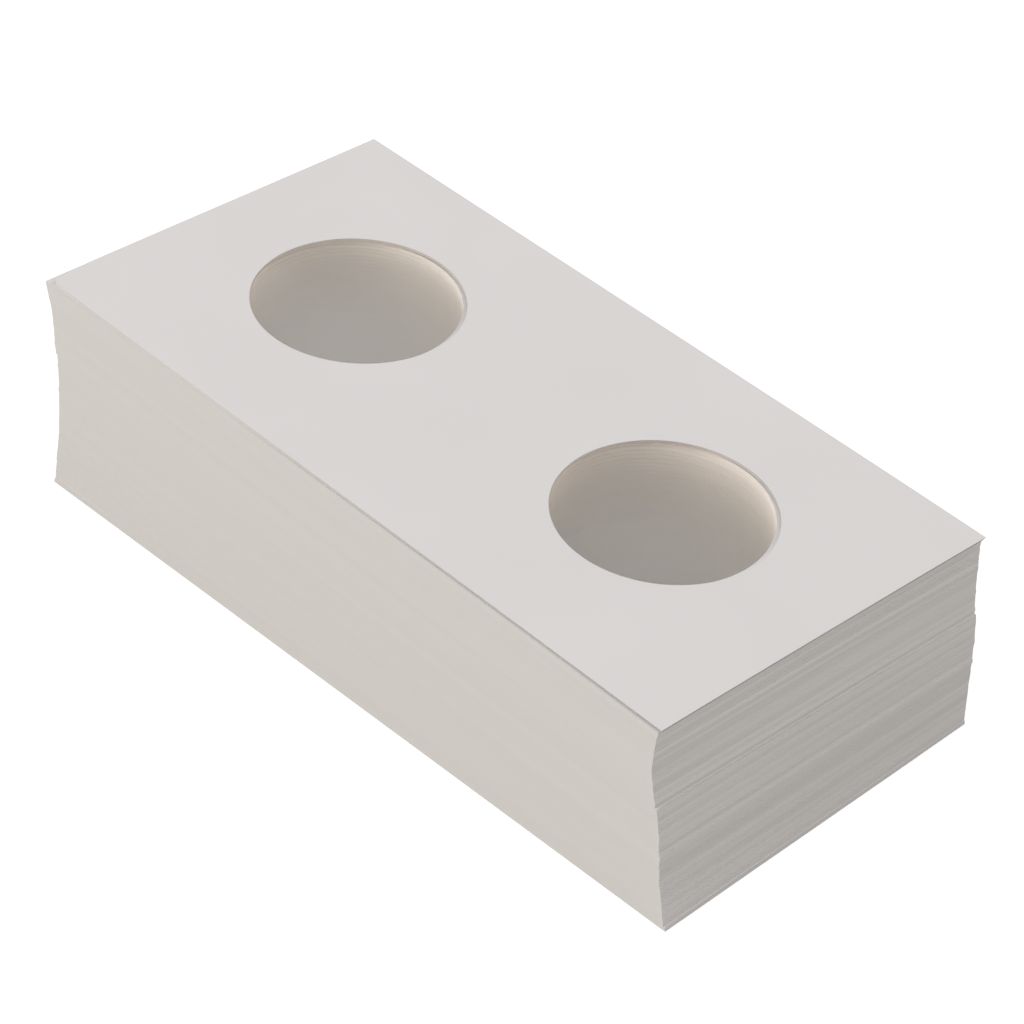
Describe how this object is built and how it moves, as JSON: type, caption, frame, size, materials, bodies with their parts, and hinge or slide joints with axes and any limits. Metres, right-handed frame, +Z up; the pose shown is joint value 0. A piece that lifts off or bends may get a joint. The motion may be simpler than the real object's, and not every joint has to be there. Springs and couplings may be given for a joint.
{
  "type": "coin holder flip pile",
  "caption": "Loose pile of unfolded card coin flips, each a white scored card with two round film-covered windows, that lift off and fold shut around a coin.",
  "frame": {"origin": "on the table, at the middle of the pile's outline seen from above", "axes": "+X along the unfolded flips, +Y along the fold lines, +Z up through the pile"},
  "size_m": [0.103, 0.053, 0.0275],
  "materials": {
    "white_card": "smooth white coated card, matt",
    "clear_film": "clear polyester film, glossy"
  },
  "bodies": {
    "lower_pack": {"card_01": "white_card", "card_02": "white_card", "card_03": "white_card", "card_04": "white_card", "card_05": "white_card", "card_06": "white_card", "card_07": "white_card", "card_08": "white_card", "card_09": "white_card", "card_10": "white_card", "card_11": "white_card", "card_12": "white_card", "card_13": "white_card", "card_14": "white_card", "card_15": "white_card", "card_16": "white_card", "card_17": "white_card", "card_18": "white_card", "card_19": "white_card", "card_20": "white_card", "card_21": "white_card", "card_22": "white_card", "card_23": "white_card", "card_24": "white_card", "card_25": "white_card", "card_26": "white_card", "card_27": "white_card", "card_28": "white_card", "card_29": "white_card", "card_30": "white_card", "lower_pack_films": "clear_film"},
    "upper_pack": {"card_31": "white_card", "card_32": "white_card", "card_33": "white_card", "card_34": "white_card", "card_35": "white_card", "card_36": "white_card", "card_37": "white_card", "card_38": "white_card", "card_39": "white_card", "card_40": "white_card", "card_41": "white_card", "card_42": "white_card", "card_43": "white_card", "card_44": "white_card", "card_45": "white_card", "upper_pack_films": "clear_film"},
    "flip_46": {"card_46": "white_card", "film_46": "clear_film"},
    "flip_47": {"card_47": "white_card", "film_47": "clear_film"},
    "flip_48": {"card_48": "white_card", "film_48": "clear_film"},
    "flip_49": {"card_49": "white_card", "film_49": "clear_film"},
    "top_front": {"top_front_leaf": "white_card", "top_front_film": "clear_film"},
    "top_back": {"top_back_leaf": "white_card", "top_back_film": "clear_film"}
  },
  "joints": [
    {"name": "upper_pack_lift", "type": "slide", "parent": "lower_pack", "child": "upper_pack", "axis": [0, 0, 1], "range_m": [0, 0.03]},
    {"name": "flip_46_lift", "type": "slide", "parent": "upper_pack", "child": "flip_46", "axis": [0, 0, 1], "range_m": [0, 0.03]},
    {"name": "flip_47_lift", "type": "slide", "parent": "flip_46", "child": "flip_47", "axis": [0, 0, 1], "range_m": [0, 0.03]},
    {"name": "flip_48_lift", "type": "slide", "parent": "flip_47", "child": "flip_48", "axis": [0, 0, 1], "range_m": [0, 0.03]},
    {"name": "flip_49_lift", "type": "slide", "parent": "flip_48", "child": "flip_49", "axis": [0, 0, 1], "range_m": [0, 0.03]},
    {"name": "top_flip_lift", "type": "slide", "parent": "flip_49", "child": "top_front", "axis": [0, 0, 1], "range_m": [0, 0.18]},
    {"name": "top_flip_fold", "type": "hinge", "parent": "top_front", "child": "top_back", "pos_m": [-0.00087, -0.00015, 0.02685], "axis": [0.0016, 1, 0], "range_deg": [0, 180]}
  ],
  "couplings": [
    {"joint": "top_flip_fold", "follows": "top_flip_lift", "rad_per_m": 17.453}
  ]
}
